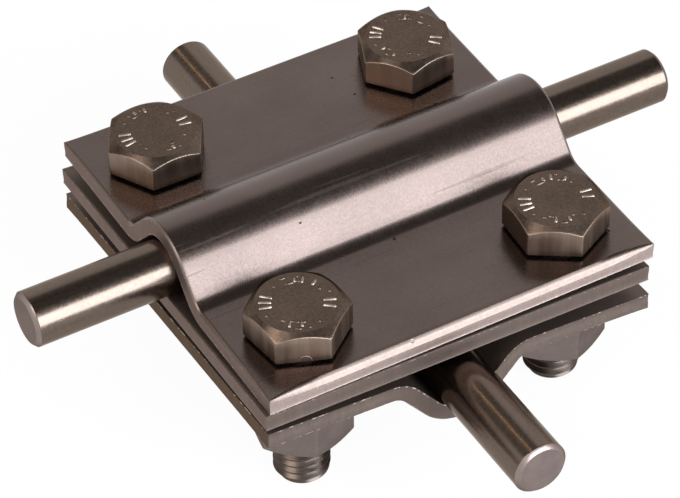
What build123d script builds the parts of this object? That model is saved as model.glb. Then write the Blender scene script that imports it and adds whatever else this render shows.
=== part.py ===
from build123d import *
import os
from math import asin, atan2, cos, degrees, hypot, radians, sqrt, tan

# A cross clamp block: two square plates with a pressed channel and a flat plate between them hold
# two round bars that cross at a right angle, one above the other. Four hexagon bolts with nuts
# draw the plates together. The clamp is assembled but not yet tightened, so its plates lie askew.
# Z points up, X runs along the upper bar and Y along the lower bar, with the front towards -Y.
# The origin is on the ground, midway between the lower ends of the bolts.
# Lengths are in millimetres and angles in degrees.

# Plates, punched out of sheet, which draws down the edges of one face: much on the top plate and
# hardly on the two below it
plate_side = 60.0
plate_thickness = 2.5
top_plate_chamfer = 0.5
lower_plate_chamfer = 0.15

# Channel of the top and bottom plates, pressed away from the bars
channel_depth = 7.1
channel_wall_angle = 48.0
channel_crown_radius = 5.0
channel_foot_radius = 3.0

# Bars, how far each one is pushed along its channel, and how the channels' play lets them lie
bar_diameter = 8.0
bar_length = 100.6
bar_end_chamfer = 0.3
upper_bar_shift = -0.7
upper_bar_offset = -0.45
lower_bar_shift = 0.0
lower_bar_drop = 1.2

# Bolts, with heads that are chamfered on top and stand on a round washer face
bolt_spacing = 40.5
bolt_diameter = 8.0
bolt_length = 26.0
bolt_end_chamfer = 0.8
head_across_flats = 12.9
head_height = 5.3
head_chamfer_angle = 36.0
washer_face_height = 0.5

# Nuts, chamfered at both ends
nut_across_flats = 13.0
nut_height = 7.5
nut_chamfer_angle = 30.0

# Hexagons of the heads and nuts: a chamfer ends in a circle this far inside the flats
hexagon_sides = 6
hexagon_circle_inset = 0.65

# How far each head and nut is turned about its bolt, from a corner that points along X
corner_names = ["front_left", "front_right", "back_left", "back_right"]
head_turns = [37.6, 26.8, 59.4, 8.3]
nut_turns = [18.0, 26.0, 41.0, 5.0]

# Fits and gaps
bolt_hole_clearance = 1.0
thread_clearance = 0.05
seat_clearance = 0.05

# How the loose plates lie askew: a gap, their slopes and their play to the left in the bolt holes
loose_gap = 2.65
middle_drop_to_right = 1.2
middle_play = 0.6
bottom_drop_to_back = 3.35
bottom_drop_to_right = 2.95
bottom_play = 0.35

# Sizes that follow
half_side = plate_side / 2
half_spacing = bolt_spacing / 2
bar_radius = bar_diameter / 2
bolt_radius = bolt_diameter / 2
bolt_hole_radius = bolt_radius + bolt_hole_clearance
nut_bore_radius = bolt_radius + thread_clearance
half_corner_angle = radians(180 / hexagon_sides)
square_to_face = 0.001

# The top plate lies level under the bolt heads, with the upper bar close under its crown.
top_face_height = bolt_length - plate_thickness
top_face = Plane((0, 0, top_face_height))
bar_play = channel_crown_radius - bar_radius - seat_clearance
crown_centre_depth = channel_depth - channel_crown_radius
upper_bar_height = top_face_height + crown_centre_depth + sqrt(bar_play**2 - upper_bar_offset**2)
upper_bar_middle = Vector(upper_bar_shift, upper_bar_offset, upper_bar_height)
upper_bar_direction = Vector(1, 0, 0)

# The middle plate's left edge lies against the upper bar and its front left corner against the top
# plate. From that edge it drops to the right.
front_corner_height = top_face_height - seat_clearance
bar_rise = upper_bar_height - front_corner_height
bar_distance = half_side + upper_bar_offset
bar_reach = bar_radius + seat_clearance
edge_to_bar = hypot(bar_distance, bar_rise)
middle_drop = degrees(asin(bar_reach / edge_to_bar) - atan2(bar_rise, bar_distance))
front_corner = Plane((-half_side - middle_play, -half_side, front_corner_height))
front_corner = front_corner.rotated((-middle_drop, middle_drop_to_right, 0))
middle_face = Plane(
    origin=front_corner.from_local_coords((half_side, half_side, -plate_thickness)),
    x_dir=front_corner.x_dir,
    z_dir=front_corner.z_dir,
)

# The bottom plate hangs loose below it, lower at the back and on the right.
slope_to_right = tan(radians(bottom_drop_to_right))
slope_to_back = tan(radians(bottom_drop_to_back))
bottom_face_height = middle_face.origin.Z - loose_gap
bottom_upward = Vector(slope_to_right, slope_to_back, 1)
bottom_face = Plane(
    origin=(-bottom_play, 0, bottom_face_height),
    x_dir=(0, 1, -slope_to_back),
    z_dir=bottom_upward * -1,
)

# The lower bar lies on the front lip of the bottom plate's channel.
crown_centre = bottom_face.from_local_coords((-half_side, 0, crown_centre_depth))
lower_bar_lip = crown_centre - Vector(0, 0, bar_play)
lower_bar_direction = Vector(0, 1, -tan(radians(lower_bar_drop))).normalized()
lip_to_middle = (lower_bar_shift - lower_bar_lip.Y) / lower_bar_direction.Y
lower_bar_middle = lower_bar_lip + lower_bar_direction * lip_to_middle

os.makedirs("parts", exist_ok=True)


def nut_foot_height(x, y):
    """Give the height of a nut's lower end, with its upper end against the tilted bottom plate."""
    plate_drop = (x + bottom_play) * slope_to_right + y * slope_to_back
    underside = bottom_face_height - plate_drop - plate_thickness * bottom_upward.length
    circle_radius = nut_across_flats / 2 - hexagon_circle_inset
    tilt_drop = circle_radius * hypot(slope_to_right, slope_to_back)
    return underside - tilt_drop - seat_clearance - nut_height


def write(piece, name):
    """Label a finished piece and write its file."""
    piece.part.label = name
    export_step(piece.part, f"parts/{name}.step")


def write_plate(name, face, has_channel, drawn_side, edge_chamfer):
    """Make a plate on its face, which looks away from the bars and has X along the channel.

    The edges that punching draws down are those of the far side for 1 and of the face for -1.
    """
    across = Plane(origin=face.origin, x_dir=face.y_dir, z_dir=face.x_dir)
    peak = channel_depth + channel_crown_radius * (1 / cos(radians(channel_wall_angle)) - 1)
    foot = peak / tan(radians(channel_wall_angle))
    foot_radius = channel_foot_radius + plate_thickness
    with BuildPart() as plate:
        with BuildSketch(across):
            with BuildLine():
                if has_channel:
                    FilletPolyline(
                        (-half_side, 0),
                        (-foot, 0),
                        (0, peak),
                        (foot, 0),
                        (half_side, 0),
                        radius=[foot_radius, channel_crown_radius, foot_radius],
                    )
                else:
                    Line((-half_side, 0), (half_side, 0))
                offset(amount=plate_thickness, side=Side.LEFT)
            make_face()
        extrude(amount=half_side, both=True)

        def lean(patch):
            return patch.normal_at().dot(face.z_dir) * drawn_side

        skin = plate.faces().filter_by(lambda patch: lean(patch) > square_to_face)
        sides = plate.faces().filter_by(lambda patch: abs(lean(patch)) < square_to_face)
        side_edges = sides.edges()
        rim = skin.edges().filter_by(lambda edge: edge in side_edges)
        chamfer(rim, edge_chamfer)

        with BuildSketch(face):
            with GridLocations(bolt_spacing, bolt_spacing, 2, 2):
                Circle(bolt_hole_radius)
        extrude(amount=plate_thickness, mode=Mode.SUBTRACT)
    write(plate, name)


def write_bar(name, middle, direction):
    """Make a round bar about its middle."""
    start = middle - direction * (bar_length / 2)
    with BuildPart() as bar:
        with BuildSketch(Plane(start, z_dir=direction)):
            Circle(bar_radius)
        extrude(amount=bar_length)
        chamfer(bar.edges().filter_by(GeomType.CIRCLE), bar_end_chamfer)
    write(bar, name)


def write_bolt(name, x, y, turn):
    """Turn a bolt's profile about its axis, then cut the head's six flats."""
    foot = Plane((x, y, 0))
    across = Plane(foot.origin, x_dir=(1, 0, 0), z_dir=(0, -1, 0))
    top = bolt_length + head_height
    flat_radius = head_across_flats / 2
    corner_radius = flat_radius / cos(half_corner_angle)
    circle_radius = flat_radius - hexagon_circle_inset
    chamfer_drop = (corner_radius - circle_radius) * tan(radians(head_chamfer_angle))
    with BuildPart() as bolt:
        with BuildSketch(across):
            with BuildLine():
                Polyline(
                    (0, 0),
                    (bolt_radius - bolt_end_chamfer, 0),
                    (bolt_radius, bolt_end_chamfer),
                    (bolt_radius, bolt_length),
                    (circle_radius, bolt_length),
                    (circle_radius, bolt_length + washer_face_height),
                    (corner_radius, bolt_length + washer_face_height),
                    (corner_radius, top - chamfer_drop),
                    (circle_radius, top),
                    (0, top),
                    close=True,
                )
            make_face()
        revolve(axis=Axis(foot.origin, (0, 0, 1)))
        with BuildSketch(foot):
            RegularPolygon(flat_radius, hexagon_sides, major_radius=False, rotation=turn)
        extrude(amount=top, mode=Mode.INTERSECT)
    write(bolt, name)


def write_nut(name, x, y, turn):
    """Turn a ring, then cut its six flats."""
    flat_radius = nut_across_flats / 2
    corner_radius = flat_radius / cos(half_corner_angle)
    circle_radius = flat_radius - hexagon_circle_inset
    chamfer_drop = (corner_radius - circle_radius) * tan(radians(nut_chamfer_angle))
    foot = Plane((x, y, nut_foot_height(x, y)))
    across = Plane(foot.origin, x_dir=(1, 0, 0), z_dir=(0, -1, 0))
    with BuildPart() as nut:
        with BuildSketch(across):
            with BuildLine():
                Polyline(
                    (nut_bore_radius, 0),
                    (circle_radius, 0),
                    (corner_radius, chamfer_drop),
                    (corner_radius, nut_height - chamfer_drop),
                    (circle_radius, nut_height),
                    (nut_bore_radius, nut_height),
                    close=True,
                )
            make_face()
        revolve(axis=Axis(foot.origin, (0, 0, 1)))
        with BuildSketch(foot):
            RegularPolygon(flat_radius, hexagon_sides, major_radius=False, rotation=turn)
        extrude(amount=nut_height, mode=Mode.INTERSECT)
    write(nut, name)


write_plate("top_plate", top_face, True, 1, top_plate_chamfer)
write_plate("middle_plate", middle_face, False, -1, lower_plate_chamfer)
write_plate("bottom_plate", bottom_face, True, 1, lower_plate_chamfer)

write_bar("upper_bar", upper_bar_middle, upper_bar_direction)
write_bar("lower_bar", lower_bar_middle, lower_bar_direction)

corner_places = [
    (-half_spacing, -half_spacing),
    (half_spacing, -half_spacing),
    (-half_spacing, half_spacing),
    (half_spacing, half_spacing),
]
for name, (x, y), head_turn, nut_turn in zip(corner_names, corner_places, head_turns, nut_turns):
    write_bolt(f"bolt_{name}", x, y, head_turn)
    write_nut(f"nut_{name}", x, y, nut_turn)
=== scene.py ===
"""Looks of a cross clamp block: two pressed plates and a flat one hold two round bars that cross.

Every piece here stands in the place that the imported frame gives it. Lengths are in millimetres and
turn into metres where a mesh, a lamp or a texture is made. Z points up and the front is towards -Y.
"""

import math
import random

import bmesh
import bpy
from mathutils import Matrix, Vector, noise


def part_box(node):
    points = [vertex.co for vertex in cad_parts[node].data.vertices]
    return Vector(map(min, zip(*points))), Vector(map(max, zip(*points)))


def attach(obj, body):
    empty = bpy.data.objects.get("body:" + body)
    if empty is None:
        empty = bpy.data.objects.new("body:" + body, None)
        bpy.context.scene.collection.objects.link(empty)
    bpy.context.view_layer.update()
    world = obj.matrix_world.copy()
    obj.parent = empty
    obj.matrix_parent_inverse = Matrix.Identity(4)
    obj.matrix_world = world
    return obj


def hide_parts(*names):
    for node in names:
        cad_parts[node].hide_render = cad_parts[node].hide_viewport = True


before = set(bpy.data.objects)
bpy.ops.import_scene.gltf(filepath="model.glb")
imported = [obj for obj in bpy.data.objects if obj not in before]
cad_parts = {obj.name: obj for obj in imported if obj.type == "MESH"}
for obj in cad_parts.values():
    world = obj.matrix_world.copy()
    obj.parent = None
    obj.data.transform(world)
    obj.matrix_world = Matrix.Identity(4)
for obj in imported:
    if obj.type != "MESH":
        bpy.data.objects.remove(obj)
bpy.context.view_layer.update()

MM = 0.001
FULL_TURN = 2 * math.pi
SHARP_ANGLE = math.radians(32)
CORNERS = ["front_left", "front_right", "back_left", "back_right"]

# Channel of the two pressed plates, beside what the frame tells of it, and steps round its bends
WALL_ANGLE = math.radians(48)
CROWN_RADIUS = 5.0
FOOT_RADIUS = 3.0
FOOT_STEPS = 12
WALL_STEPS = 5
CROWN_STEPS = 32

# The normal of a plate's inner face points up or down by at least this share
LEVEL_LEAN = 0.9

# Steps across a plate, which grow from fine ones at its edges to coarse ones
FINE_STEP = 0.06
COARSE_STEP = 2.0
STEP_GROWTH = 1.35
FINE_REACH = 4.0

# Punched edges: width and depth of the drawn-down band on the plate's own left, right, front and
# back, which fades towards the corners. The die cut the top plate's front edge with more play.
NARROW_DRAWN = (0.35, 0.28)
TOP_DRAWN = (NARROW_DRAWN, NARROW_DRAWN, (0.95, 1.05), NARROW_DRAWN)
MIDDLE_DRAWN = ((0.2, 0.14),) * 4
BOTTOM_DRAWN = ((0.3, 0.2),) * 4
DRAWN_CURVE = 1.5
DRAWN_TAPER = 9.0
TAPER_CURVE = 0.6
LEAST_TAPER = 0.02

# Cut sides: their rings, as shares of the way from the drawn-down edge to the far one, how far they
# stand back below a wavering line, and the share of that at the far edge. The front side is made up
# of the faces whose normals point to the front by at least the lean.
SHEARED_LEVELS = (0.03, 0.12, 0.25, 0.4, 0.55, 0.7, 0.87, 0.97)
SHEARED_INSET = 0.05
BREAK_LEVEL = 0.35
BREAK_WAVER = 0.25
BREAK_STEEPNESS = 4
FAR_EDGE_SHARE = 0.4
FRONT_LEAN = 0.7

# How much painted glint lies along the far edges of the top, middle and bottom plate
TOP_PAINTED_GLINT = 0.6
MIDDLE_PAINTED_GLINT = 0.0
BOTTOM_PAINTED_GLINT = 1.0

# Bolt holes
HOLE_RADIUS = 5.0
HOLE_SEGMENTS = 72
HOLE_CUTTER_LENGTH = 8.0

# Hexagons of the heads and nuts: their corners and edges are rounded, and a chamfer ends in a
# circle this far inside the flats
HALF_CORNER = math.pi / 6
NEXT_CORNER = math.pi / 3
CORNER_ROUNDING = 0.4
CORNER_STEPS = 8
FLAT_STEPS = 10
EDGE_ROUNDING = 0.08
CIRCLE_INSET = 0.65
HEAD_CHAMFER = math.tan(math.radians(36))
NUT_CHAMFER = math.tan(math.radians(30))

# Rings of a hexagon: shares of the chamfer's width, (inset, drop) in shares of the rounding over
# its edge, shares of the flats' height, and (inset, lift) over a head's lower edge
CHAMFER_RINGS = (0.0, 0.08, 0.3, 0.55, 0.8)
EDGE_RINGS = ((1.0, 0.0), (0.55, 0.12), (0.2, 0.42), (0.0, 1.0))
FLAT_RINGS = (0.25, 0.5, 0.75)
LOWER_EDGE_RINGS = ((0.0, 1.0), (0.3, 0.3), (1.0, 0.0))

# Heads, with a slight dish on top: rings as shares of its circle, and the share that is dished
HEAD_HEIGHT = 5.3
WASHER_FACE = 0.5
HEAD_RINGS = (0.08, 0.3, 0.5, 0.65, 0.72, 0.8, 0.9, 0.97)
HEAD_DISH = 0.04
DISH_SHARE = 0.72

# Thread, as (share of a pitch, share of the depth), and the neck under a head where it runs out
PITCH = 1.25
CREST_RADIUS = 4.0
ROOT_RADIUS = 3.4
BORE_CLEARANCE = 0.06
END_CHAMFER = 0.8
NECK_HEIGHT = 1.2
NECK_SLOPE = 0.6
NECK_RADIUS = 3.6
SHANK_OVERLAP = 0.3
THREAD_COLUMNS = 64
THREAD_PROFILE = (
    (0.00, 0.0),
    (0.10, 0.0),
    (0.16, 0.08),
    (0.40, 0.9),
    (0.45, 1.0),
    (0.55, 1.0),
    (0.60, 0.9),
    (0.84, 0.08),
    (0.90, 0.0),
)

# Raised marks on the heads: half width, (share of it, height) upwards and how deep they are sunk
MARK_WIDTH = 0.25
MARK_STEPS = 12
MARK_SINK = 0.04
MARK_PROFILE = ((1.0, 0.0), (0.45, 0.18), (0.25, 0.21))

# Where the marks lie: directions in degrees, distances from the head's axis and lengths
MARK_DISTANCE = 4.35
INNER_DISTANCE = 3.9
OUTER_DISTANCE = 4.85
LONG_MARKS = (-14, 0, 13, 170, 186)
LONG_LENGTH = 1.9
RADIAL_LENGTH = 1.2
MARK_GROUPS = ((62, 1.2), (83, 1.4), (104, 0.9), (247, 1.3), (268, 1.0), (287, 1.4))
MARK_DOTS = ((34, 4.7), (47, 4.1), (127, 4.7), (140, 4.1), (209, 4.6), (222, 4.0), (318, 4.6))
DOT_LENGTH = 0.6
MARK_TURNS = {
    "front_left": math.radians(151),
    "front_right": math.radians(165),
    "back_left": math.radians(178),
    "back_right": math.radians(140),
}

# Wear of the short marks: the share that is gone, and how far the others lie elsewhere
MARK_LOSS = 0.35
MARK_TURN_PLAY = 4
MARK_DISTANCE_PLAY = 0.2
MARK_LENGTH_PLAY = (0.6, 1.1)

# Small half-round forging mark on one flat of one head: its size and the wire it is like, and its
# middle above the flat's lower end, sunk into the flat and to the side of it
WITNESS_CORNER = "front_left"
WITNESS_RADIUS = 0.85
WITNESS_LIFT = 0.15
WITNESS_SINK = 0.03
WITNESS_SHIFT = 0.2
WITNESS_WIRE = 0.1
WITNESS_STEPS = 14
WITNESS_SIDES = 8

# Bars. Turning left fine rings on their ends, a feed apart, which start and stop short of the edge.
BAR_RADIUS = 4.0
BAR_COLUMNS = 128
BAR_RINGS = 24
BAR_RING_MARGIN = 1.0
BAR_CHAMFER = 0.55
TURNING_FEED = 0.4
TURNING_STEPS = 4
TURNING_START = 0.2
TURNING_MARGIN = 0.3

# Colours of the bare metal, and its tints where it is seen at a flat angle
PLATE_TONE = (0.138, 0.104, 0.093)
SHELTERED_TONE = (0.135, 0.1, 0.083)
# Lighter tone of the top plate's drawn-down band: a painted highlight of its rounded edge
DRAWN_PAINTED_HIGHLIGHT_TONE = (0.205, 0.16, 0.138)
# Lighter tone of the top and middle plates' left, right and back cut sides: painted light
SIDE_PAINTED_LIGHT_TONE = (0.225, 0.17, 0.152)
GLINT_TONE = (0.85, 0.74, 0.68)
TOP_SHEARED_TONE = (0.4, 0.315, 0.29)
SHEARED_TONE = (0.162, 0.124, 0.109)
# Darker, browner tone of the bottom plate's left, right and back cut sides: painted shade
BOTTOM_SIDE_PAINTED_SHADE_TONE = (0.145, 0.104, 0.077)
BAR_TONE = (0.145, 0.11, 0.09)
END_TONE = (0.265, 0.212, 0.196)
HEAD_TONE = (0.12, 0.086, 0.067)
FLANK_TONE = (0.24, 0.176, 0.138)
NUT_TONE = (0.2, 0.16, 0.15)
# Lighter tone of the radial marks on the heads: a painted glint
MARK_PAINTED_GLINT_TONE = (0.34, 0.285, 0.24)
THREAD_TONE = (0.086, 0.067, 0.058)
GRAZING_TINT = (0.42, 0.4, 0.38)
BAR_GRAZING_TINT = (0.75, 0.7, 0.66)

# Scratches in the sheet run in these directions, in degrees
SCRATCH_TURNS = (12, 58, 104, 151)

# The room: how much of the white floor shows by itself, and darker parts overhead as (direction,
# where the shade starts and is full in degrees from there, level)
FLOOR_REACH = 6.0
FLOOR_GLOW = 0.95
FLOOR_TONE = (0.9, 0.9, 0.9, 1)
ROOM_LIGHT = (1.0, 1.0, 1.0)
ROOM_DARK = (0.03, 0.025, 0.02)
ROOM_SHADES = (
    ((0.2, -0.05, 0.98), 40, 30, 0.12),
    ((-0.25, 0.5, 0.83), 34, 26, 0.25),
)

# Soft lamps, all as far from the block in metres: name, turn from the front towards the right and
# height in degrees, width and height in metres, brightness and colour
LAMP_DISTANCE = 1.2
LAMPS = (
    ("key", 15, 19.7, 1.25, 0.81, 8.9, (0.84, 0.92, 1.0)),
    ("left", -80, 43, 0.6, 0.45, 5.5, (1.0, 0.93, 0.85)),
    ("strip", -163, 45, 0.034, 0.6, 5.5, (1.0, 0.7, 0.42)),
)

# Camera of the photograph, which is 680 pixels wide, and the height that it and the lamps aim at
AIM_HEIGHT = 26.0
VIEW_TURN = math.radians(29.156)
VIEW_HEIGHT = math.radians(42.702)
VIEW_ROLL = math.radians(-0.938)
VIEW_DISTANCE = 495.055
VIEW_TARGET = (-7.45, -9.103, AIM_HEIGHT)
FOCAL_LENGTH = 191.99
SENSOR_WIDTH = 36.0
NEAREST_VIEW = 0.01
FARTHEST_VIEW = 50


def corners_of(node):
    """Give a CAD node's mesh points in millimetres."""
    return [v.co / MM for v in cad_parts[node].data.vertices]


def middle_of(node):
    low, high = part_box(node)
    return (low + high) / 2 / MM


def within_one(value):
    """Keep a value between 0 and 1."""
    return max(0.0, min(1.0, value))


def heading(angle):
    """Give the level direction at an angle from X."""
    return Vector((math.cos(angle), math.sin(angle), 0))


def plate_axes(node, upwards, along_y):
    """Give a plate's matrix, with Z away from its inner face, its side length and its height."""
    groups = {}
    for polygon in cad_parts[node].data.polygons:
        if polygon.normal.z * upwards < -LEVEL_LEAN:
            key = tuple(round(x, 3) for x in polygon.normal)
            groups[key] = groups.get(key, 0) + polygon.area
    normal = Vector(max(groups, key=groups.get)).normalized()
    z_axis = -normal
    east = Vector((1, 0, 0))
    x_axis = normal.cross(east) if along_y else east - normal * normal.dot(east)
    x_axis.normalize()
    y_axis = z_axis.cross(x_axis)
    points = corners_of(node)
    spans = []
    for axis in (x_axis, y_axis, z_axis):
        reach = [p.dot(axis) for p in points]
        spans.append((min(reach), max(reach)))
    centre = x_axis * sum(spans[0]) / 2 + y_axis * sum(spans[1]) / 2 + z_axis * spans[2][0]
    matrix = Matrix((x_axis, y_axis, z_axis)).transposed().to_4x4()
    matrix.translation = centre
    return matrix, spans[0][1] - spans[0][0], spans[2][1] - spans[2][0]


def add_to_scene(name, data):
    """Put a mesh, a lamp or a camera into the scene."""
    made = bpy.data.objects.new(name, data)
    bpy.context.scene.collection.objects.link(made)
    return made


def mesh_piece(name, shell, materials):
    """Make a mesh object from a shell in millimetres, smooth but for its sharp edges."""
    mesh = bpy.data.meshes.new(name)
    mesh.from_pydata([Vector(p) * MM for p in shell.points], [], shell.faces)
    for material in materials:
        mesh.materials.append(material)
    mesh.polygons.foreach_set("material_index", shell.slots)
    mesh.validate()
    mesh.shade_smooth()
    mesh.set_sharp_from_angle(angle=SHARP_ANGLE)
    return add_to_scene(name, mesh)


def add_values(piece, name, values):
    """Keep a value at each point of a mesh, for its material."""
    layer = piece.data.attributes.new(name, "FLOAT", "POINT")
    layer.data.foreach_set("value", values)


class Shell:
    """Collects points and faces of one piece."""

    def __init__(self):
        self.points = []
        self.faces = []
        self.slots = []

    def ring(self, points):
        start = len(self.points)
        self.points.extend(points)
        return list(range(start, start + len(points)))

    def band(self, first, second, slot=0):
        """Join two closed rings of the same length."""
        count = len(first)
        for i in range(count):
            j = (i + 1) % count
            self.faces.append((first[i], first[j], second[j], second[i]))
            self.slots.append(slot)

    def cap(self, ring, slot=0):
        self.faces.append(tuple(ring))
        self.slots.append(slot)

    def lathe(self, rings, slot):
        """Join rings in order, and close the first and the last one with a face."""
        made = [self.ring(points) for points in rings]
        for first, second in zip(made, made[1:]):
            self.band(first, second, slot)
        self.cap(list(reversed(made[0])), slot)
        self.cap(made[-1], slot)


def spread(low, high):
    """Places from low to high: close together near both ends, and coarse apart between them."""
    near = []
    step, place = FINE_STEP, 0.0
    while place < FINE_REACH:
        near.append(place)
        place += step
        step = min(step * STEP_GROWTH, COARSE_STEP)
    middle = high - low - 2 * place
    count = max(1, round(middle / COARSE_STEP))
    inner = [low + place + middle * i / count for i in range(count + 1)]
    return [low + p for p in near] + inner + [high - p for p in reversed(near)]


def crown_point(depth, slope):
    """Give (y, z, slope) of the place on the channel's crown that has this slope."""
    return -CROWN_RADIUS * math.sin(slope), depth - CROWN_RADIUS * (1 - math.cos(slope)), slope


def channel_profile(side, depth, thickness):
    """Give (y, z, slope, run) along the inner face of a pressed plate, across its channel."""
    foot_radius = FOOT_RADIUS + thickness
    peak = depth + CROWN_RADIUS * (1 / math.cos(WALL_ANGLE) - 1)
    foot = peak / math.tan(WALL_ANGLE)
    bend = foot + foot_radius * math.tan(WALL_ANGLE / 2)
    rows = [(y, 0.0, 0.0) for y in spread(-side / 2, -bend)]
    for i in range(1, FOOT_STEPS + 1):
        t = WALL_ANGLE * i / FOOT_STEPS
        rows.append((-bend + foot_radius * math.sin(t), foot_radius * (1 - math.cos(t)), t))
    y, z, _ = rows[-1]
    wall_end = crown_point(depth, WALL_ANGLE)
    for i in range(1, WALL_STEPS):
        f = i / WALL_STEPS
        rows.append((y + (wall_end[0] - y) * f, z + (wall_end[1] - z) * f, WALL_ANGLE))
    for i in range(CROWN_STEPS // 2):
        rows.append(crown_point(depth, WALL_ANGLE * (1 - 2 * i / CROWN_STEPS)))
    mirrored = [(-y, z, -t) for y, z, t in reversed(rows)]
    return with_runs([*rows, (0.0, depth, 0.0), *mirrored])


def flat_profile(side):
    """Give (y, z, slope, run) along the inner face of a flat plate."""
    return with_runs([(y, 0.0, 0.0) for y in spread(-side / 2, side / 2)])


def with_runs(rows):
    """Add the length along the profile to each (y, z, slope)."""
    out, run = [], 0.0
    for i, (y, z, t) in enumerate(rows):
        if i:
            run += math.hypot(y - rows[i - 1][0], z - rows[i - 1][1])
        out.append((y, z, t, run))
    return out


def drawn(distance, along, length, band):
    """Give (depth that a punched edge is drawn down here, share of its band, 1 at the edge).

    The band has its full size along the side, and fades to nothing at both corners.
    """
    corner_distance = min(along, length - along)
    size = math.sin(within_one(corner_distance / DRAWN_TAPER) * math.pi / 2) ** TAPER_CURVE
    width, depth = band[0] * size, band[1] * size
    if distance >= width or size < LEAST_TAPER:
        return 0.0, 0.0
    share = 1 - distance / width
    return depth * share**DRAWN_CURVE, share


def drawn_at(x, run, side, total, bands):
    """Give (depth, share) at a place on a plate's outer face, from the edge drawn down most there."""
    return max(
        drawn(x + side / 2, run, total, bands[0]),
        drawn(side / 2 - x, run, total, bands[1]),
        drawn(run, x + side / 2, side, bands[2]),
        drawn(total - run, x + side / 2, side, bands[3]),
    )


def sheared_inset(point, level):
    """Give how far a cut side stands back at a share of its height."""
    if level == SHEARED_LEVELS[0]:
        return 0.0
    if level == SHEARED_LEVELS[-1]:
        return SHEARED_INSET * FAR_EDGE_SHARE
    waver = noise.noise(point * 0.9) * 0.6 + noise.noise(point * 3.1) * 0.4
    return SHEARED_INSET * within_one((level - BREAK_LEVEL + BREAK_WAVER * waver) * BREAK_STEEPNESS)


def cut_sides(shell, shares, sheets, painted_glint):
    """Close a plate's sides in rings round it, between the rims of its outer and inner sheet.

    A sheet is a grid of points. The painted glint is how much glint is painted along the far edge.
    """
    last_column, last_row = len(sheets[0]) - 1, len(sheets[0][0]) - 1
    loop = [(i, 0) for i in range(last_column)]
    loop += [(last_column, j) for j in range(last_row)]
    loop += [(i, last_row) for i in range(last_column, 0, -1)]
    loop += [(0, j) for j in range(last_row, 0, -1)]
    outer_rim, inner_rim = [[grid[i][j] for i, j in loop] for grid in sheets]
    previous = outer_rim
    for level in SHEARED_LEVELS:
        ring = []
        for (i, j), top, foot in zip(loop, outer_rim, inner_rim):
            p = Vector(shell.points[top]).lerp(Vector(shell.points[foot]), level)
            inset = sheared_inset(p, level)
            if i in (0, last_column):
                p.x -= math.copysign(inset, p.x)
            if j in (0, last_row):
                p.y -= math.copysign(inset, p.y)
            ring.append(len(shell.points))
            shell.points.append(tuple(p))
            # The last ring holds the share of painted glint
            shares.append(painted_glint if level == SHEARED_LEVELS[-1] else 0.0)
        shell.band(ring, previous, 1)
        previous = ring
    shell.band(inner_rim, previous, 1)


def plate(name, matrix, side, profile, thickness, bands, painted_glint, materials):
    """Make a punched plate as a closed mesh, cut its four bolt holes and place it.

    The bands are those that punching drew down. The materials are those of the outer face, the sides,
    the inner face and the front side.
    """
    places = spread(-side / 2, side / 2)
    total = profile[-1][3]
    shell = Shell()
    shares = []
    sheets = []
    for outer in (True, False):
        grid = []
        for x in places:
            row = []
            for y, z, slope, run in profile:
                depth, share = thickness, 0.0
                if outer:
                    depth, share = drawn_at(x, run, side, total, bands)
                lift = thickness - depth
                row.append(len(shell.points))
                shell.points.append((x, y - math.sin(slope) * lift, z + math.cos(slope) * lift))
                shares.append(share)
            grid.append(row)
        sheets.append(grid)
    for grid, outer in zip(sheets, (True, False)):
        for i in range(len(places) - 1):
            for j in range(len(profile) - 1):
                face = (grid[i][j], grid[i + 1][j], grid[i + 1][j + 1], grid[i][j + 1])
                shell.faces.append(face if outer else tuple(reversed(face)))
                shell.slots.append(0 if outer else 2)
    cut_sides(shell, shares, sheets, painted_glint)
    shell.points = [matrix @ Vector(p) for p in shell.points]
    piece = mesh_piece(name, shell, materials)
    for polygon in piece.data.polygons:
        if polygon.material_index == 1 and polygon.normal.y < -FRONT_LEAN:
            polygon.material_index = 3
    # The drawn values hold the drawn-down band's share on the outer face, and the painted glint on the
    # last ring of the sides
    add_values(piece, "drawn", shares)
    cut_holes(piece, matrix)
    return piece


def cut_holes(piece, matrix):
    """Cut the bolt holes square to the plate, on the bolts' axes."""
    cutter = bmesh.new()
    for corner in CORNERS:
        foot = middle_of(f"bolt_{corner}")
        local = matrix.inverted() @ Vector((foot.x, foot.y, matrix.translation.z))
        spot = matrix @ Matrix.Translation((local.x, local.y, 0))
        spot.translation *= MM
        bmesh.ops.create_cone(
            cutter,
            cap_ends=True,
            segments=HOLE_SEGMENTS,
            radius1=HOLE_RADIUS * MM,
            radius2=HOLE_RADIUS * MM,
            depth=HOLE_CUTTER_LENGTH * MM,
            matrix=spot,
        )
    mesh = bpy.data.meshes.new("cutter")
    cutter.to_mesh(mesh)
    cutter.free()
    tool = add_to_scene("cutter", mesh)
    modifier = piece.modifiers.new("holes", "BOOLEAN")
    modifier.operation = "DIFFERENCE"
    modifier.solver = "EXACT"
    modifier.object = tool
    bpy.context.view_layer.update()
    evaluated = piece.evaluated_get(bpy.context.evaluated_depsgraph_get())
    result = bpy.data.meshes.new_from_object(evaluated)
    piece.modifiers.clear()
    piece.data = result
    result.shade_smooth()
    result.set_sharp_from_angle(angle=SHARP_ANGLE)
    bpy.data.objects.remove(tool)


def corner_point(reach, corner, bend):
    """Give a point of a rounded corner, which looks away from the corner's heading by the bend."""
    centre = Vector((reach * math.cos(corner), reach * math.sin(corner)))
    out = corner + bend
    return centre + Vector((math.cos(out), math.sin(out))) * CORNER_ROUNDING


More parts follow.
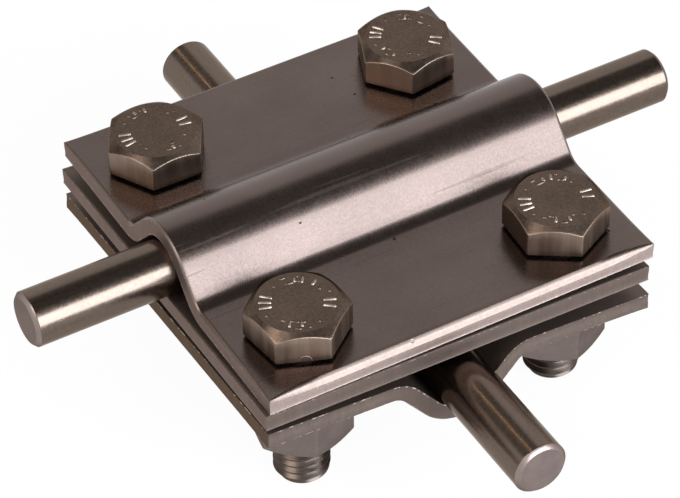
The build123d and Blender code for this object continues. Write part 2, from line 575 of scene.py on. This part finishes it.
def hexagon(flat_radius, turn):
    """Points round a hexagon with rounded corners, the first corner at the turn."""
    points = []
    reach = (flat_radius - CORNER_ROUNDING) / math.cos(HALF_CORNER)
    for k in range(6):
        corner = turn + k * NEXT_CORNER
        for i in range(CORNER_STEPS + 1):
            points.append(corner_point(reach, corner, HALF_CORNER * (2 * i / CORNER_STEPS - 1)))
        start = points[-1]
        goal = corner_point(reach, corner + NEXT_CORNER, -HALF_CORNER)
        for i in range(1, FLAT_STEPS):
            points.append(start.lerp(goal, i / FLAT_STEPS))
    return points


def turn_of(node):
    """Give the direction of a hexagon's corner from its axis."""
    centre = middle_of(node)
    far = max(corners_of(node), key=lambda p: math.hypot(p.x - centre.x, p.y - centre.y))
    return math.atan2(far.y - centre.y, far.x - centre.x)


def hexagon_of(node, centre):
    """Give a node's distance from its axis to the flats, a corner's direction and its outline."""
    reach = max(math.hypot(p.x - centre.x, p.y - centre.y) for p in corners_of(node))
    flat_radius = reach * math.cos(HALF_CORNER)
    turn = turn_of(node)
    return flat_radius, turn, hexagon(flat_radius, turn)


def level_ring(outline, centre, reach, height):
    """Points over an outline, each at its own distance from the axis and its own height."""
    ring = []
    for p in outline:
        edge = p.length
        r = reach(edge)
        ring.append((centre.x + p.x / edge * r, centre.y + p.y / edge * r, height(edge)))
    return ring


def round_rings(outline, centre, rows):
    """Level circles with an outline's points, one for each (radius, height)."""
    return [level_ring(outline, centre, lambda edge: r, lambda edge: z) for r, z in rows]


def chamfered_rings(outline, centre, circle, top, slope, sign):
    """Rings from a hexagon's flat end over its chamfer, and the height at which its flats end.

    The sign is 1 for an upper end and -1 for a lower one.
    """

    def chamfer_height(edge):
        return top - sign * (edge - circle) * slope

    rings = []
    for f in CHAMFER_RINGS:
        rings.append(
            level_ring(
                outline,
                centre,
                lambda edge: circle + (edge - EDGE_ROUNDING - circle) * f,
                lambda edge: top - sign * (edge - EDGE_ROUNDING - circle) * f * slope,
            )
        )
    for inset, drop in EDGE_RINGS:
        rings.append(
            level_ring(
                outline,
                centre,
                lambda edge: edge - EDGE_ROUNDING * inset,
                lambda edge: chamfer_height(edge - EDGE_ROUNDING * inset) - sign * EDGE_ROUNDING * drop,
            )
        )
    return rings, lambda edge: chamfer_height(edge) - sign * EDGE_ROUNDING


def flat_rings(outline, centre, upper, lower):
    """Rings down a hexagon's flats, between the heights at which they end."""
    rings = []
    for f in FLAT_RINGS:
        rings.append(
            level_ring(
                outline,
                centre,
                lambda edge: edge,
                lambda edge: upper(edge) + (lower(edge) - upper(edge)) * f,
            )
        )
    return rings


def bolt(corner, looks):
    """Make a bolt with a forged hexagon head and a rolled thread.

    The looks are those of the head, its flats, the thread and the radial marks, whose glint is painted
    into their lighter colour.
    """
    node = f"bolt_{corner}"
    centre = middle_of(node)
    top = max(p.z for p in corners_of(node))
    seat = top - HEAD_HEIGHT
    under = seat + WASHER_FACE
    flat_radius, turn, outline = hexagon_of(node, centre)
    circle = flat_radius - CIRCLE_INSET
    dished = []
    for f in HEAD_RINGS:
        dished.append((circle * f, top - HEAD_DISH * (1 - min(1.0, f / DISH_SHARE) ** 2)))
    rings = round_rings(outline, centre, dished)
    chamfer, flat_top = chamfered_rings(outline, centre, circle, top, HEAD_CHAMFER, 1)
    rings += chamfer
    rings += flat_rings(outline, centre, flat_top, lambda edge: under + EDGE_ROUNDING)
    for inset, lift in LOWER_EDGE_RINGS:
        rings.append(
            level_ring(
                outline,
                centre,
                lambda edge: edge - EDGE_ROUNDING * inset,
                lambda edge: under + EDGE_ROUNDING * lift,
            )
        )
    washer_face = [
        (circle + 0.2, under),
        (circle + 0.04, under - 0.04),
        (circle, under - 0.16),
        (circle, seat + 0.08),
        (circle - 0.08, seat),
        (ROOT_RADIUS - 0.6, seat),
    ]
    rings += round_rings(outline, centre, washer_face)
    flat_start = len(HEAD_RINGS) + len(CHAMFER_RINGS)
    flat_end = flat_start + len(EDGE_RINGS) + len(FLAT_RINGS)
    shell = Shell()
    made = [shell.ring(list(reversed(points))) for points in rings]
    for k, (first, second) in enumerate(zip(made, made[1:])):
        shell.band(first, second, 1 if flat_start <= k <= flat_end else 0)
    shell.cap(list(reversed(made[0])))
    shell.cap(made[-1])
    for angle, distance, tangential, length in head_marks(random.Random(corner)):
        raised_mark(shell, centre, top, MARK_TURNS[corner] + angle, distance, tangential, length)
    if corner == WITNESS_CORNER:
        witness_mark(shell, centre, flat_radius, turn, under)
    thread(shell, centre, seat)
    return mesh_piece(node + "_looks", shell, looks)


def head_marks(chance):
    """Give generic raised marks: (direction, distance from the axis, tangential or not, length).

    The short ones are worn: each lies a little elsewhere, and some are gone.
    """
    marks = [(angle, MARK_DISTANCE, False, LONG_LENGTH) for angle in LONG_MARKS]
    for angle, length in MARK_GROUPS:
        marks.append((angle, INNER_DISTANCE, True, length))
        marks.append((angle + 6, OUTER_DISTANCE, True, length * 0.7))
        marks.append((angle - 8, MARK_DISTANCE, False, RADIAL_LENGTH))
    marks += [(angle, distance, True, DOT_LENGTH) for angle, distance in MARK_DOTS]
    worn_marks_and_painted_band = []
    for angle, distance, tangential, length in marks:
        if length < LONG_LENGTH:
            if chance.random() < MARK_LOSS:
                continue
            angle += chance.uniform(-MARK_TURN_PLAY, MARK_TURN_PLAY)
            distance += chance.uniform(-MARK_DISTANCE_PLAY, MARK_DISTANCE_PLAY)
            length *= chance.uniform(*MARK_LENGTH_PLAY)
        worn_marks_and_painted_band.append((math.radians(angle), distance, tangential, length))
    return worn_marks_and_painted_band


def raised_mark(shell, centre, base, angle, distance, tangential, length):
    """Add a low ridge with sloping sides on a head."""
    radial = heading(angle)
    along, across = radial, Vector((-radial.y, radial.x, 0))
    if tangential:
        along, across = -across, radial
    middle = Vector((centre.x, centre.y, base - MARK_SINK)) + radial * distance
    straight = max(0.0, length / 2 - MARK_WIDTH)
    rings = []
    for share, height in MARK_PROFILE:
        ring = []
        for i in range(MARK_STEPS):
            t = FULL_TURN * (i + 0.5) / MARK_STEPS
            reach = straight * math.copysign(1, math.cos(t)) + math.cos(t) * MARK_WIDTH * share
            spot = middle + along * reach + across * (math.sin(t) * MARK_WIDTH * share)
            ring.append(tuple(spot + Vector((0, 0, height))))
        rings.append(ring)
    # Radial marks take slot 3, whose lighter colour is a painted glint
    shell.lathe(rings, 0 if tangential else 3)


def witness_mark(shell, centre, flat_radius, turn, under):
    """Add a small half-round forging mark low on the flat that faces the front."""
    flats = [turn + HALF_CORNER + k * NEXT_CORNER for k in range(6)]
    facing = min(flats, key=lambda a: abs(math.remainder(a + FULL_TURN / 4, FULL_TURN)))
    out = heading(facing)
    aside = Vector((-out.y, out.x, 0))
    middle = Vector((centre.x, centre.y, under + WITNESS_LIFT))
    middle += out * (flat_radius - WITNESS_SINK) + aside * WITNESS_SHIFT
    rings = []
    for i in range(WITNESS_STEPS + 1):
        a = math.pi * i / WITNESS_STEPS
        spoke = aside * math.cos(a) + Vector((0, 0, math.sin(a)))
        ring = []
        for j in range(WITNESS_SIDES):
            b = FULL_TURN * j / WITNESS_SIDES
            spot = middle + spoke * (WITNESS_RADIUS + WITNESS_WIRE * math.cos(b))
            ring.append(tuple(spot + out * (WITNESS_WIRE * math.sin(b))))
        rings.append(list(reversed(ring)))
    shell.lathe(rings, 1)


def thread(shell, centre, seat):
    """Add a bolt's shank, whose thread climbs a pitch each turn, with flat ends."""
    top = seat + SHANK_OVERLAP
    rows_per_turn = len(THREAD_PROFILE)
    turns = math.ceil(top / PITCH) + 2
    work = bmesh.new()
    grid = []
    for i in range(THREAD_COLUMNS):
        a = FULL_TURN * i / THREAD_COLUMNS
        column = []
        for k in range((turns + 1) * rows_per_turn + 1):
            part, share = THREAD_PROFILE[k % rows_per_turn]
            z = PITCH * (k // rows_per_turn - 1 + part + i / THREAD_COLUMNS)
            r = ROOT_RADIUS + (CREST_RADIUS - ROOT_RADIUS) * share
            r = max(ROOT_RADIUS / 2, min(r, CREST_RADIUS - END_CHAMFER + z))
            r += (NECK_RADIUS - r) * within_one((z - seat + NECK_HEIGHT) / NECK_SLOPE)
            column.append(work.verts.new((centre.x + r * math.cos(a), centre.y + r * math.sin(a), z)))
        grid.append(column)
    for i in range(THREAD_COLUMNS):
        j = (i + 1) % THREAD_COLUMNS
        shift = 0 if j else rows_per_turn
        for k in range(turns * rows_per_turn):
            work.faces.new([grid[i][k], grid[j][k + shift], grid[j][k + 1 + shift], grid[i][k + 1]])
    for height, direction in ((0.0, 1), (top, -1)):
        bmesh.ops.bisect_plane(
            work,
            geom=work.verts[:] + work.edges[:] + work.faces[:],
            plane_co=(0, 0, height),
            plane_no=(0, 0, direction),
            clear_inner=True,
            dist=0.0001,
        )
    loose = [v for v in work.verts if not v.link_faces]
    bmesh.ops.delete(work, geom=loose, context="VERTS")
    bmesh.ops.holes_fill(work, edges=[e for e in work.edges if len(e.link_faces) == 1], sides=0)
    bmesh.ops.recalc_face_normals(work, faces=work.faces[:])
    work.verts.index_update()
    start = len(shell.points)
    shell.points.extend(tuple(v.co) for v in work.verts)
    for face in work.faces:
        shell.faces.append(tuple(start + v.index for v in face.verts))
        shell.slots.append(2)
    work.free()


def nut(corner, look):
    """Make a nut, chamfered at both ends, with a plain bore that clears the bolt's thread."""
    node = f"nut_{corner}"
    low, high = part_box(node)
    centre = middle_of(f"bolt_{corner}")
    foot, top = low.z / MM, high.z / MM
    flat_radius, _, outline = hexagon_of(node, centre)
    circle = flat_radius - CIRCLE_INSET
    bore = CREST_RADIUS + BORE_CLEARANCE
    mouth = [(bore, 0.35), (bore + 0.3, 0.03), (bore + 0.4, 0.0)]
    upper, upper_end = chamfered_rings(outline, centre, circle, top, NUT_CHAMFER, 1)
    lower, lower_end = chamfered_rings(outline, centre, circle, foot, NUT_CHAMFER, -1)
    rings = round_rings(outline, centre, [(bore, (foot + top) / 2)])
    rings += round_rings(outline, centre, [(r, top - depth) for r, depth in mouth])
    rings += upper
    rings += flat_rings(outline, centre, upper_end, lower_end)
    rings += reversed(lower)
    rings += round_rings(outline, centre, [(r, foot + depth) for r, depth in reversed(mouth)])
    shell = Shell()
    made = [shell.ring(list(reversed(points))) for points in rings]
    for first, second in zip(made, made[1:] + made[:1]):
        shell.band(first, second)
    return mesh_piece(node + "_looks", shell, [look])


def bar_ends(node, axis):
    """Give the middles of a bar's two end faces."""
    points = corners_of(node)
    low, high = min(p[axis] for p in points), max(p[axis] for p in points)
    ends = []
    for goal in (low, high):
        near = [p for p in points if abs(p[axis] - goal) < 2 * BAR_CHAMFER]
        ends.append(sum(near, Vector()) / len(near))
    return ends


def bar(node, axis, looks):
    """Make a drawn round bar with turned ends. The looks are those of its side and its ends."""
    start, end = bar_ends(node, axis)
    direction = (end - start).normalized()
    reach = [(p - start).dot(direction) for p in corners_of(node)]
    start, length = start + direction * min(reach), max(reach) - min(reach)
    side = direction.cross(Vector((0, 0, 1))).normalized()
    lift = side.cross(direction)
    face_rings = int((BAR_RADIUS - BAR_CHAMFER - TURNING_MARGIN) / TURNING_FEED * TURNING_STEPS)
    near = [(TURNING_START + TURNING_FEED * k / TURNING_STEPS, 0.0) for k in range(face_rings)]
    near += [
        (BAR_RADIUS - BAR_CHAMFER - 0.03, 0.0),
        (BAR_RADIUS - BAR_CHAMFER + 0.02, 0.02),
        (BAR_RADIUS - 0.03, BAR_CHAMFER - 0.03),
        (BAR_RADIUS, BAR_CHAMFER + 0.03),
        (BAR_RADIUS, BAR_CHAMFER + 0.1),
    ]
    free = length - 2 * BAR_RING_MARGIN
    middle = [(BAR_RADIUS, BAR_RING_MARGIN + free * i / BAR_RINGS) for i in range(BAR_RINGS + 1)]
    far = [(r, length - d) for r, d in reversed(near)]
    shell = Shell()
    made = []
    for r, d in near + middle + far:
        ring = []
        for i in range(BAR_COLUMNS):
            a = FULL_TURN * i / BAR_COLUMNS
            spoke = side * math.cos(a) + lift * math.sin(a)
            ring.append(tuple(start + direction * d + spoke * r))
        made.append(shell.ring(ring))
    turned = face_rings + 2
    for k, (first, second) in enumerate(zip(made, made[1:])):
        at_end = k < turned or k >= len(made) - 1 - turned
        shell.band(second, first, 1 if at_end else 0)
    shell.cap(made[0], 1)
    shell.cap(list(reversed(made[-1])), 1)
    piece = mesh_piece(node + "_looks", shell, looks)
    ridges = [0.5] * len(made)
    for k in range(face_rings):
        ridges[k] = ridges[-1 - k] = math.sin(FULL_TURN * k / TURNING_STEPS) / 2 + 0.5
    add_values(piece, "turning", [ridge for ridge in ridges for _ in range(BAR_COLUMNS)])
    return piece


def place(piece, node, body, slot):
    """Let a finished piece stand for its CAD node."""
    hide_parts(node)
    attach(piece, body)


def shade(tone, level):
    """Give a darker or lighter shade of a tone."""
    return tuple(c * level for c in tone)


class Nodes:
    """Short calls for building the node tree of a material or of the world."""

    def __init__(self, owner):
        owner.use_nodes = True
        self.owner = owner
        self.tree = owner.node_tree
        self.tree.nodes.clear()

    def node(self, kind, inputs=None, **settings):
        """Add a node. An input is a value, or the output of another node."""
        made = self.tree.nodes.new(kind)
        for key, value in settings.items():
            setattr(made, key, value)
        for key, value in (inputs or {}).items():
            self.set(made.inputs[key], value)
        return made

    def set(self, socket, value):
        if isinstance(value, bpy.types.NodeSocket):
            self.tree.links.new(value, socket)
        else:
            socket.default_value = value

    def coordinates(self, scale=(1, 1, 1), turn=(0, 0, 0)):
        """Give the piece's own coordinates in metres, scaled and turned by degrees."""
        base = self.node("ShaderNodeTexCoord").outputs["Object"]
        mapped = self.node(
            "ShaderNodeMapping",
            {"Vector": base, "Scale": scale, "Rotation": [math.radians(a) for a in turn]},
        )
        return mapped.outputs["Vector"]

    def noise(self, scale, detail=2.0, rough=0.5, stretch=(1, 1, 1), turn=(0, 0, 0)):
        """Give a cloudy pattern, with its scale in clouds a metre and times the stretch each way."""
        made = self.node(
            "ShaderNodeTexNoise",
            {
                "Vector": self.coordinates(stretch, turn),
                "Scale": scale,
                "Detail": detail,
                "Roughness": rough,
            },
        )
        return made.outputs["Fac"]

    def spots(self, scale):
        """Give the distance from scattered points, in shares of their spacing."""
        made = self.node("ShaderNodeTexVoronoi", {"Vector": self.coordinates(), "Scale": scale})
        return made.outputs["Distance"]

    def attribute(self, name):
        """Read a value that is kept at the mesh's points."""
        return self.node("ShaderNodeAttribute", attribute_name=name).outputs["Fac"]

    def math(self, operation, a, b):
        made = self.node("ShaderNodeMath", {0: a, 1: b}, operation=operation)
        return made.outputs[0]

    def remap(self, value, low, high, to_low=0.0, to_high=1.0):
        """Carry a value from the range between low and high over to another range, with soft ends."""
        made = self.node(
            "ShaderNodeMapRange",
            {"Value": value, "From Min": low, "From Max": high, "To Min": to_low, "To Max": to_high},
            interpolation_type="SMOOTHSTEP",
        )
        return made.outputs["Result"]

    def total(self, *terms):
        """Add up values, each times its weight."""
        total = 0.0
        for value, weight in terms:
            total = self.math("ADD", total, self.math("MULTIPLY", value, weight))
        return total

    def mix(self, factor, first, second):
        """Blend from the first colour to the second, which are the node's inputs 6 and 7."""
        made = self.node("ShaderNodeMix", {"Factor": factor}, data_type="RGBA")
        for socket, colour in ((made.inputs[6], first), (made.inputs[7], second)):
            self.set(socket, colour if isinstance(colour, bpy.types.NodeSocket) else (*colour, 1))
        return made.outputs[2]

    def tint(self, colour, mask, tone, level):
        """Lay a shade of a tone over a colour where the mask shows."""
        return self.mix(mask, colour, shade(tone, level))

    def metal(self, colour, roughness, height, metallic=1.0, grazing=(1, 1, 1)):
        """Finish a bare metal, with its fine relief in millimetres, and give the material."""
        bump = self.node("ShaderNodeBump", {"Height": height, "Distance": MM})
        shader = self.node(
            "ShaderNodeBsdfPrincipled",
            {
                "Base Color": colour,
                "Roughness": roughness,
                "Metallic": metallic,
                "Specular Tint": (*grazing, 1),
                "Normal": bump.outputs["Normal"],
            },
        )
        self.node("ShaderNodeOutputMaterial", {"Surface": shader.outputs[0]})
        return self.owner


def plate_surface(name, tone, drawn_tone, along_y, rough=0.24, metallic=1.0):
    """Rolled stainless sheet: faint streaks, clouds, scratches and pits, and drawn-down edges with
    painted highlight and painted shade.
    """
    n = Nodes(bpy.data.materials.new(name))
    clouds = n.noise(55, 3, 0.55)
    grain = n.noise(2600, 2, 0.6)
    streaks = n.noise(26, 3, 0.6, stretch=(10, 1, 10) if along_y else (1, 10, 10))
    mottle = n.noise(420, 5, 0.7)
    scratches = 0.0
    for k, turn in enumerate(SCRATCH_TURNS):
        lines = n.noise(18 + 5 * k, 1, 0.4, stretch=(1.2, 42, 1.2), turn=(0, 0, turn))
        scratches = n.math("MAXIMUM", scratches, n.remap(lines, 0.735, 0.76))
    pits = n.remap(n.spots(330), 0.10, 0.05)
    pits = n.math("MULTIPLY", pits, n.remap(n.noise(120, 1), 0.52, 0.58))
    colour = n.mix(n.remap(clouds, 0.3, 0.75), shade(tone, 0.9), shade(tone, 1.1))
    colour = n.tint(colour, n.remap(mottle, 0.5, 0.72, 0, 0.25), tone, 1.12)
    colour = n.tint(colour, n.remap(mottle, 0.48, 0.3, 0, 0.5), tone, 0.85)
    colour = n.tint(colour, n.remap(streaks, 0.35, 0.7, 0, 0.2), tone, 1.25)
    colour = n.tint(colour, n.math("MULTIPLY", scratches, 0.2), tone, 1.5)
    colour = n.tint(colour, n.math("MULTIPLY", pits, 0.75), tone, 0.25)
    # The drawn-down band, which is also rougher: its lighter tone is a painted highlight, the half
    # nearest the edge is darker as painted shade, it has fine grain, and a thin line of painted shade
    # runs right at the edge
    edge = n.attribute("drawn")
    worn_marks_and_painted_band = n.remap(edge, 0.02, 0.12)
    band = n.mix(n.remap(edge, 0.5, 0.65), drawn_tone, shade(drawn_tone, 0.78))
    band = n.tint(band, n.remap(n.noise(3600, 3, 0.7), 0.42, 0.25, 0, 0.8), drawn_tone, 0.6)
    band = n.tint(band, n.remap(edge, 0.93, 0.99, 0, 0.8), drawn_tone, 0.45)
    colour = n.mix(worn_marks_and_painted_band, colour, band)
    roughness = n.total(
        (n.remap(mottle, 0.3, 0.7, rough, rough + 0.035), 1),
        (n.remap(grain, 0.2, 0.8, -0.02, 0.05), 1),
        (scratches, 0.08),
        (worn_marks_and_painted_band, 0.1),
    )
    height = n.total((grain, 0.0035), (n.noise(90, 2), 0.012), (scratches, -0.004), (pits, -0.03))
    return n.metal(colour, roughness, height, metallic)


def sheared_surface(name, tone):
    """The cut band of a punched edge: grainy, with faint drag lines and painted glints along the far
    edge.
    """
    n = Nodes(bpy.data.materials.new(name))
    drag = n.noise(1500, 3, 0.6, stretch=(1, 1, 0.08))
    grain = n.noise(3200, 3, 0.65)
    clouds = n.noise(160, 2, 0.5)
    colour = n.mix(n.remap(drag, 0.3, 0.7), shade(tone, 0.93), shade(tone, 1.05))
    colour = n.tint(colour, n.remap(grain, 0.4, 0.75, 0, 0.35), tone, 1.4)
    colour = n.tint(colour, n.remap(clouds, 0.4, 0.7, 0, 0.25), tone, 0.8)
    # Painted glints: spots of the glint tone where the drawn values mark the far edge
    painted_glint = n.remap(n.attribute("drawn"), 0.3, 0.8)
    painted_glint = n.math("MULTIPLY", painted_glint, n.remap(n.noise(1300, 2, 0.6), 0.53, 0.62))
    colour = n.mix(painted_glint, colour, GLINT_TONE)
    roughness = n.remap(grain, 0.2, 0.8, 0.48, 0.62)
    return n.metal(colour, roughness, n.total((drag, 0.004), (grain, 0.012)), grazing=GRAZING_TINT)


def forged_surface(name, tone, rough, cloudy):
    """A cold-formed face: cloudy and finely grained."""
    n = Nodes(bpy.data.materials.new(name))
    clouds = n.noise(240, 3, 0.6)
    grain = n.noise(2400, 3, 0.6)
    grainy = 2.8 * cloudy
    colour = n.mix(n.remap(clouds, 0.3, 0.7), shade(tone, 1 - cloudy), shade(tone, 1 + cloudy))
    colour = n.tint(colour, n.remap(grain, 0.45, 0.75, 0, grainy), tone, 1.5)
    colour = n.tint(colour, n.remap(grain, 0.48, 0.3, 0, grainy), tone, 0.6)
    roughness = n.remap(clouds, 0.3, 0.7, rough - 0.04, rough + 0.05)
    height = n.total((clouds, 0.1 * cloudy), (grain, 0.009))
    return n.metal(colour, roughness, height, grazing=GRAZING_TINT)


def flank_surface(name, tone):
    """The flats of a hexagon, with fine drag lines from the die."""
    n = Nodes(bpy.data.materials.new(name))
    drag = n.noise(900, 3, 0.6, stretch=(1, 1, 0.06))
    clouds = n.noise(220, 2, 0.5)
    colour = n.mix(n.remap(drag, 0.3, 0.72), shade(tone, 0.86), shade(tone, 1.12))
    colour = n.tint(colour, n.remap(clouds, 0.4, 0.75, 0, 0.3), tone, 0.75)
    roughness = n.remap(drag, 0.2, 0.8, 0.36, 0.46)
    return n.metal(colour, roughness, n.total((drag, 0.006)), grazing=GRAZING_TINT)


def bar_surface(name, tone, along_x):
    """Drawn bar: long fine lines along it."""
    n = Nodes(bpy.data.materials.new(name))
    lines = n.noise(1900, 3, 0.6, stretch=(0.035, 1, 1) if along_x else (1, 0.035, 1))
    grain = n.noise(2100, 2, 0.6)
    clouds = n.noise(120, 2, 0.5)
    colour = n.mix(n.remap(lines, 0.3, 0.7), shade(tone, 0.92), shade(tone, 1.08))
    colour = n.tint(colour, n.remap(grain, 0.35, 0.7), tone, 1.15)
    colour = n.tint(colour, n.remap(clouds, 0.35, 0.7, 0, 0.2), tone, 0.8)
    roughness = n.remap(lines, 0.2, 0.8, 0.17, 0.22)
    roughness = n.math("ADD", roughness, n.remap(grain, 0.3, 0.7, 0, 0.05))
    height = n.total((lines, 0.002), (grain, 0.005))
    return n.metal(colour, roughness, height, grazing=BAR_GRAZING_TINT)


def turned_surface(name, tone):
    """A matt, finely grained surface, darker along the ridges that turning left."""
    n = Nodes(bpy.data.materials.new(name))
    grain = n.noise(3000, 2, 0.6)
    clouds = n.noise(260, 2, 0.5)
    colour = n.mix(n.remap(clouds, 0.3, 0.7), shade(tone, 0.88), shade(tone, 1.1))
    colour = n.tint(colour, n.remap(n.attribute("turning"), 0.55, 1.0, 0, 0.3), tone, 0.55)
    roughness = n.remap(grain, 0.2, 0.8, 0.28, 0.4)
    return n.metal(colour, roughness, n.total((grain, 0.006)), grazing=GRAZING_TINT)


def thread_surface(name, tone):
    """A rolled thread, with fine lines round it."""
    n = Nodes(bpy.data.materials.new(name))
    lines = n.noise(1200, 2, 0.6, stretch=(0.3, 0.3, 1))
    colour = n.mix(n.remap(lines, 0.3, 0.7), shade(tone, 0.8), shade(tone, 1.2))
    roughness = n.remap(lines, 0.2, 0.8, 0.26, 0.34)
    return n.metal(colour, roughness, n.total((lines, 0.006)), grazing=GRAZING_TINT)


def white_floor():
    """Lay a white floor that keeps the shadow and glows by itself where it is seen or mirrored."""
    mesh = bpy.data.meshes.new("floor")
    corners = [(-1, -1), (1, -1), (1, 1), (-1, 1)]
    mesh.from_pydata([(x * FLOOR_REACH, y * FLOOR_REACH, 0) for x, y in corners], [], [(0, 1, 2, 3)])
    floor = add_to_scene("floor", mesh)
    n = Nodes(bpy.data.materials.new("floor"))
    path = n.node("ShaderNodeLightPath").outputs
    seen = n.math("MAXIMUM", path["Is Camera Ray"], path["Is Glossy Ray"])
    seen = n.math("MAXIMUM", seen, path["Is Transmission Ray"])
    matt = n.node("ShaderNodeBsdfDiffuse", {"Color": FLOOR_TONE})
    glow = n.node("ShaderNodeEmission", {"Color": (1, 1, 1, 1), "Strength": 1.0})
    mixed = n.node(
        "ShaderNodeMixShader",
        {0: n.math("MULTIPLY", seen, FLOOR_GLOW), 1: matt.outputs[0], 2: glow.outputs[0]},
    )
    n.node("ShaderNodeOutputMaterial", {"Surface": mixed.outputs[0]})
    mesh.materials.append(n.owner)


def pale_room():
    """Surround the block with a pale room that is darker overhead."""
    world = bpy.data.worlds.new("room")
    bpy.context.scene.world = world
    n = Nodes(world)
    direction = n.node("ShaderNodeTexCoord").outputs["Generated"]
    level = 1.0
    for overhead, edge, full, dark in ROOM_SHADES:
        toward = Vector(overhead).normalized()
        dot = n.node("ShaderNodeVectorMath", {0: direction, 1: toward}, operation="DOT_PRODUCT")
        start, end = math.cos(math.radians(edge)), math.cos(math.radians(full))
        level = n.math("MINIMUM", level, n.remap(dot.outputs["Value"], start, end, 1.0, dark))
    colour = n.mix(level, ROOM_DARK, ROOM_LIGHT)
    ground = n.node("ShaderNodeBackground", {"Color": colour, "Strength": 1.0})
    n.node("ShaderNodeOutputWorld", {"Surface": ground.outputs[0]})


def softbox(name, turn, height, width, tall, radiance, colour):
    """Place a soft lamp that looks at the block: turn is from the front towards the right."""
    lamp = bpy.data.lights.new(name, "AREA")
    lamp.shape = "RECTANGLE"
    lamp.size = width
    lamp.size_y = tall
    lamp.energy = radiance * math.pi * width * tall
    lamp.color = colour
    a, e = math.radians(turn), math.radians(height)
    away = Vector((math.sin(a) * math.cos(e), -math.cos(a) * math.cos(e), math.sin(e)))
    holder = add_to_scene(name, lamp)
    holder.location = Vector((0, 0, AIM_HEIGHT * MM)) + away * LAMP_DISTANCE
    holder.rotation_euler = away.to_track_quat("Z", "Y").to_euler()


def camera():
    """Set the camera where the photograph was taken from."""
    lens = bpy.data.cameras.new("camera")
    lens.lens = FOCAL_LENGTH
    lens.sensor_width = SENSOR_WIDTH
    lens.sensor_fit = "HORIZONTAL"
    lens.clip_start = NEAREST_VIEW
    lens.clip_end = FARTHEST_VIEW
    a, e = VIEW_TURN, VIEW_HEIGHT
    back = Vector((-math.sin(a) * math.cos(e), -math.cos(a) * math.cos(e), math.sin(e)))
    level = Vector((math.cos(a), -math.sin(a), 0))
    upright = back.cross(level)
    right = level * math.cos(VIEW_ROLL) + upright * math.sin(VIEW_ROLL)
    up = upright * math.cos(VIEW_ROLL) - level * math.sin(VIEW_ROLL)
    matrix = Matrix((right, up, back)).transposed().to_4x4()
    matrix.translation = (Vector(VIEW_TARGET) + back * VIEW_DISTANCE) * MM
    holder = add_to_scene("camera", lens)
    holder.matrix_world = matrix
    bpy.context.scene.camera = holder


top_sheet = plate_surface("top_sheet", PLATE_TONE, DRAWN_PAINTED_HIGHLIGHT_TONE, along_y=False)
bottom_sheet = plate_surface("bottom_sheet", PLATE_TONE, SHEARED_TONE, along_y=True)
sheltered_sheet = plate_surface(
    "sheltered_sheet", SHELTERED_TONE, SHELTERED_TONE, along_y=False, rough=0.45, metallic=0.85
)
top_sheared = sheared_surface("top_sheared_edge", TOP_SHEARED_TONE)
# Cut sides of the top and middle plate, made lighter as painted light
side_painted_light = sheared_surface("side_painted_light_edge", SIDE_PAINTED_LIGHT_TONE)
sheared = sheared_surface("sheared_edge", SHEARED_TONE)
# The bottom plate's cut sides, darker and browner as painted shade
bottom_side_painted_shade = sheared_surface("bottom_side_painted_shade_edge", BOTTOM_SIDE_PAINTED_SHADE_TONE)
bolt_looks = [
    forged_surface("bolt_head", HEAD_TONE, 0.3, cloudy=0.18),
    flank_surface("bolt_flats", FLANK_TONE),
    thread_surface("bolt_thread", THREAD_TONE),
    # the radial marks, with a painted glint
    turned_surface("bolt_marks_painted_glint", MARK_PAINTED_GLINT_TONE),
]
nut_look = forged_surface("nut", NUT_TONE, 0.42, cloudy=0.05)
bar_end = turned_surface("bar_end", END_TONE)
upper_bar_looks = [bar_surface("upper_bar_drawn", BAR_TONE, along_x=True), bar_end]
lower_bar_looks = [bar_surface("lower_bar_drawn", BAR_TONE, along_x=False), bar_end]
top_looks = [top_sheet, side_painted_light, sheltered_sheet, top_sheared]
middle_looks = [sheltered_sheet, side_painted_light, sheltered_sheet, sheared]
bottom_looks = [bottom_sheet, bottom_side_painted_shade, sheltered_sheet, sheared]

camera()
white_floor()
pale_room()
for settings in LAMPS:
    softbox(*settings)

middle_matrix, plate_side, plate_thickness = plate_axes("middle_plate", 1, along_y=False)
top_matrix, _, top_height = plate_axes("top_plate", 1, along_y=False)
bottom_matrix, _, _ = plate_axes("bottom_plate", -1, along_y=True)
flat = flat_profile(plate_side)
channel = channel_profile(plate_side, top_height - plate_thickness, plate_thickness)
for name, matrix, profile, bands, painted_glint, looks in (
    ("top_plate", top_matrix, channel, TOP_DRAWN, TOP_PAINTED_GLINT, top_looks),
    ("middle_plate", middle_matrix, flat, MIDDLE_DRAWN, MIDDLE_PAINTED_GLINT, middle_looks),
    ("bottom_plate", bottom_matrix, channel, BOTTOM_DRAWN, BOTTOM_PAINTED_GLINT, bottom_looks),
):
    made = plate(name + "_looks", matrix, plate_side, profile, plate_thickness, bands, painted_glint, looks)
    place(made, name, "plates", "plate")

place(bar("upper_bar", 0, upper_bar_looks), "upper_bar", "upper_bar", "bar")
place(bar("lower_bar", 1, lower_bar_looks), "lower_bar", "lower_bar", "bar")
for corner in CORNERS:
    place(bolt(corner, bolt_looks), f"bolt_{corner}", f"bolt_{corner}", "bolt")
    place(nut(corner, nut_look), f"nut_{corner}", f"nut_{corner}", "nut")

bpy.context.scene.view_settings.view_transform = "Standard"
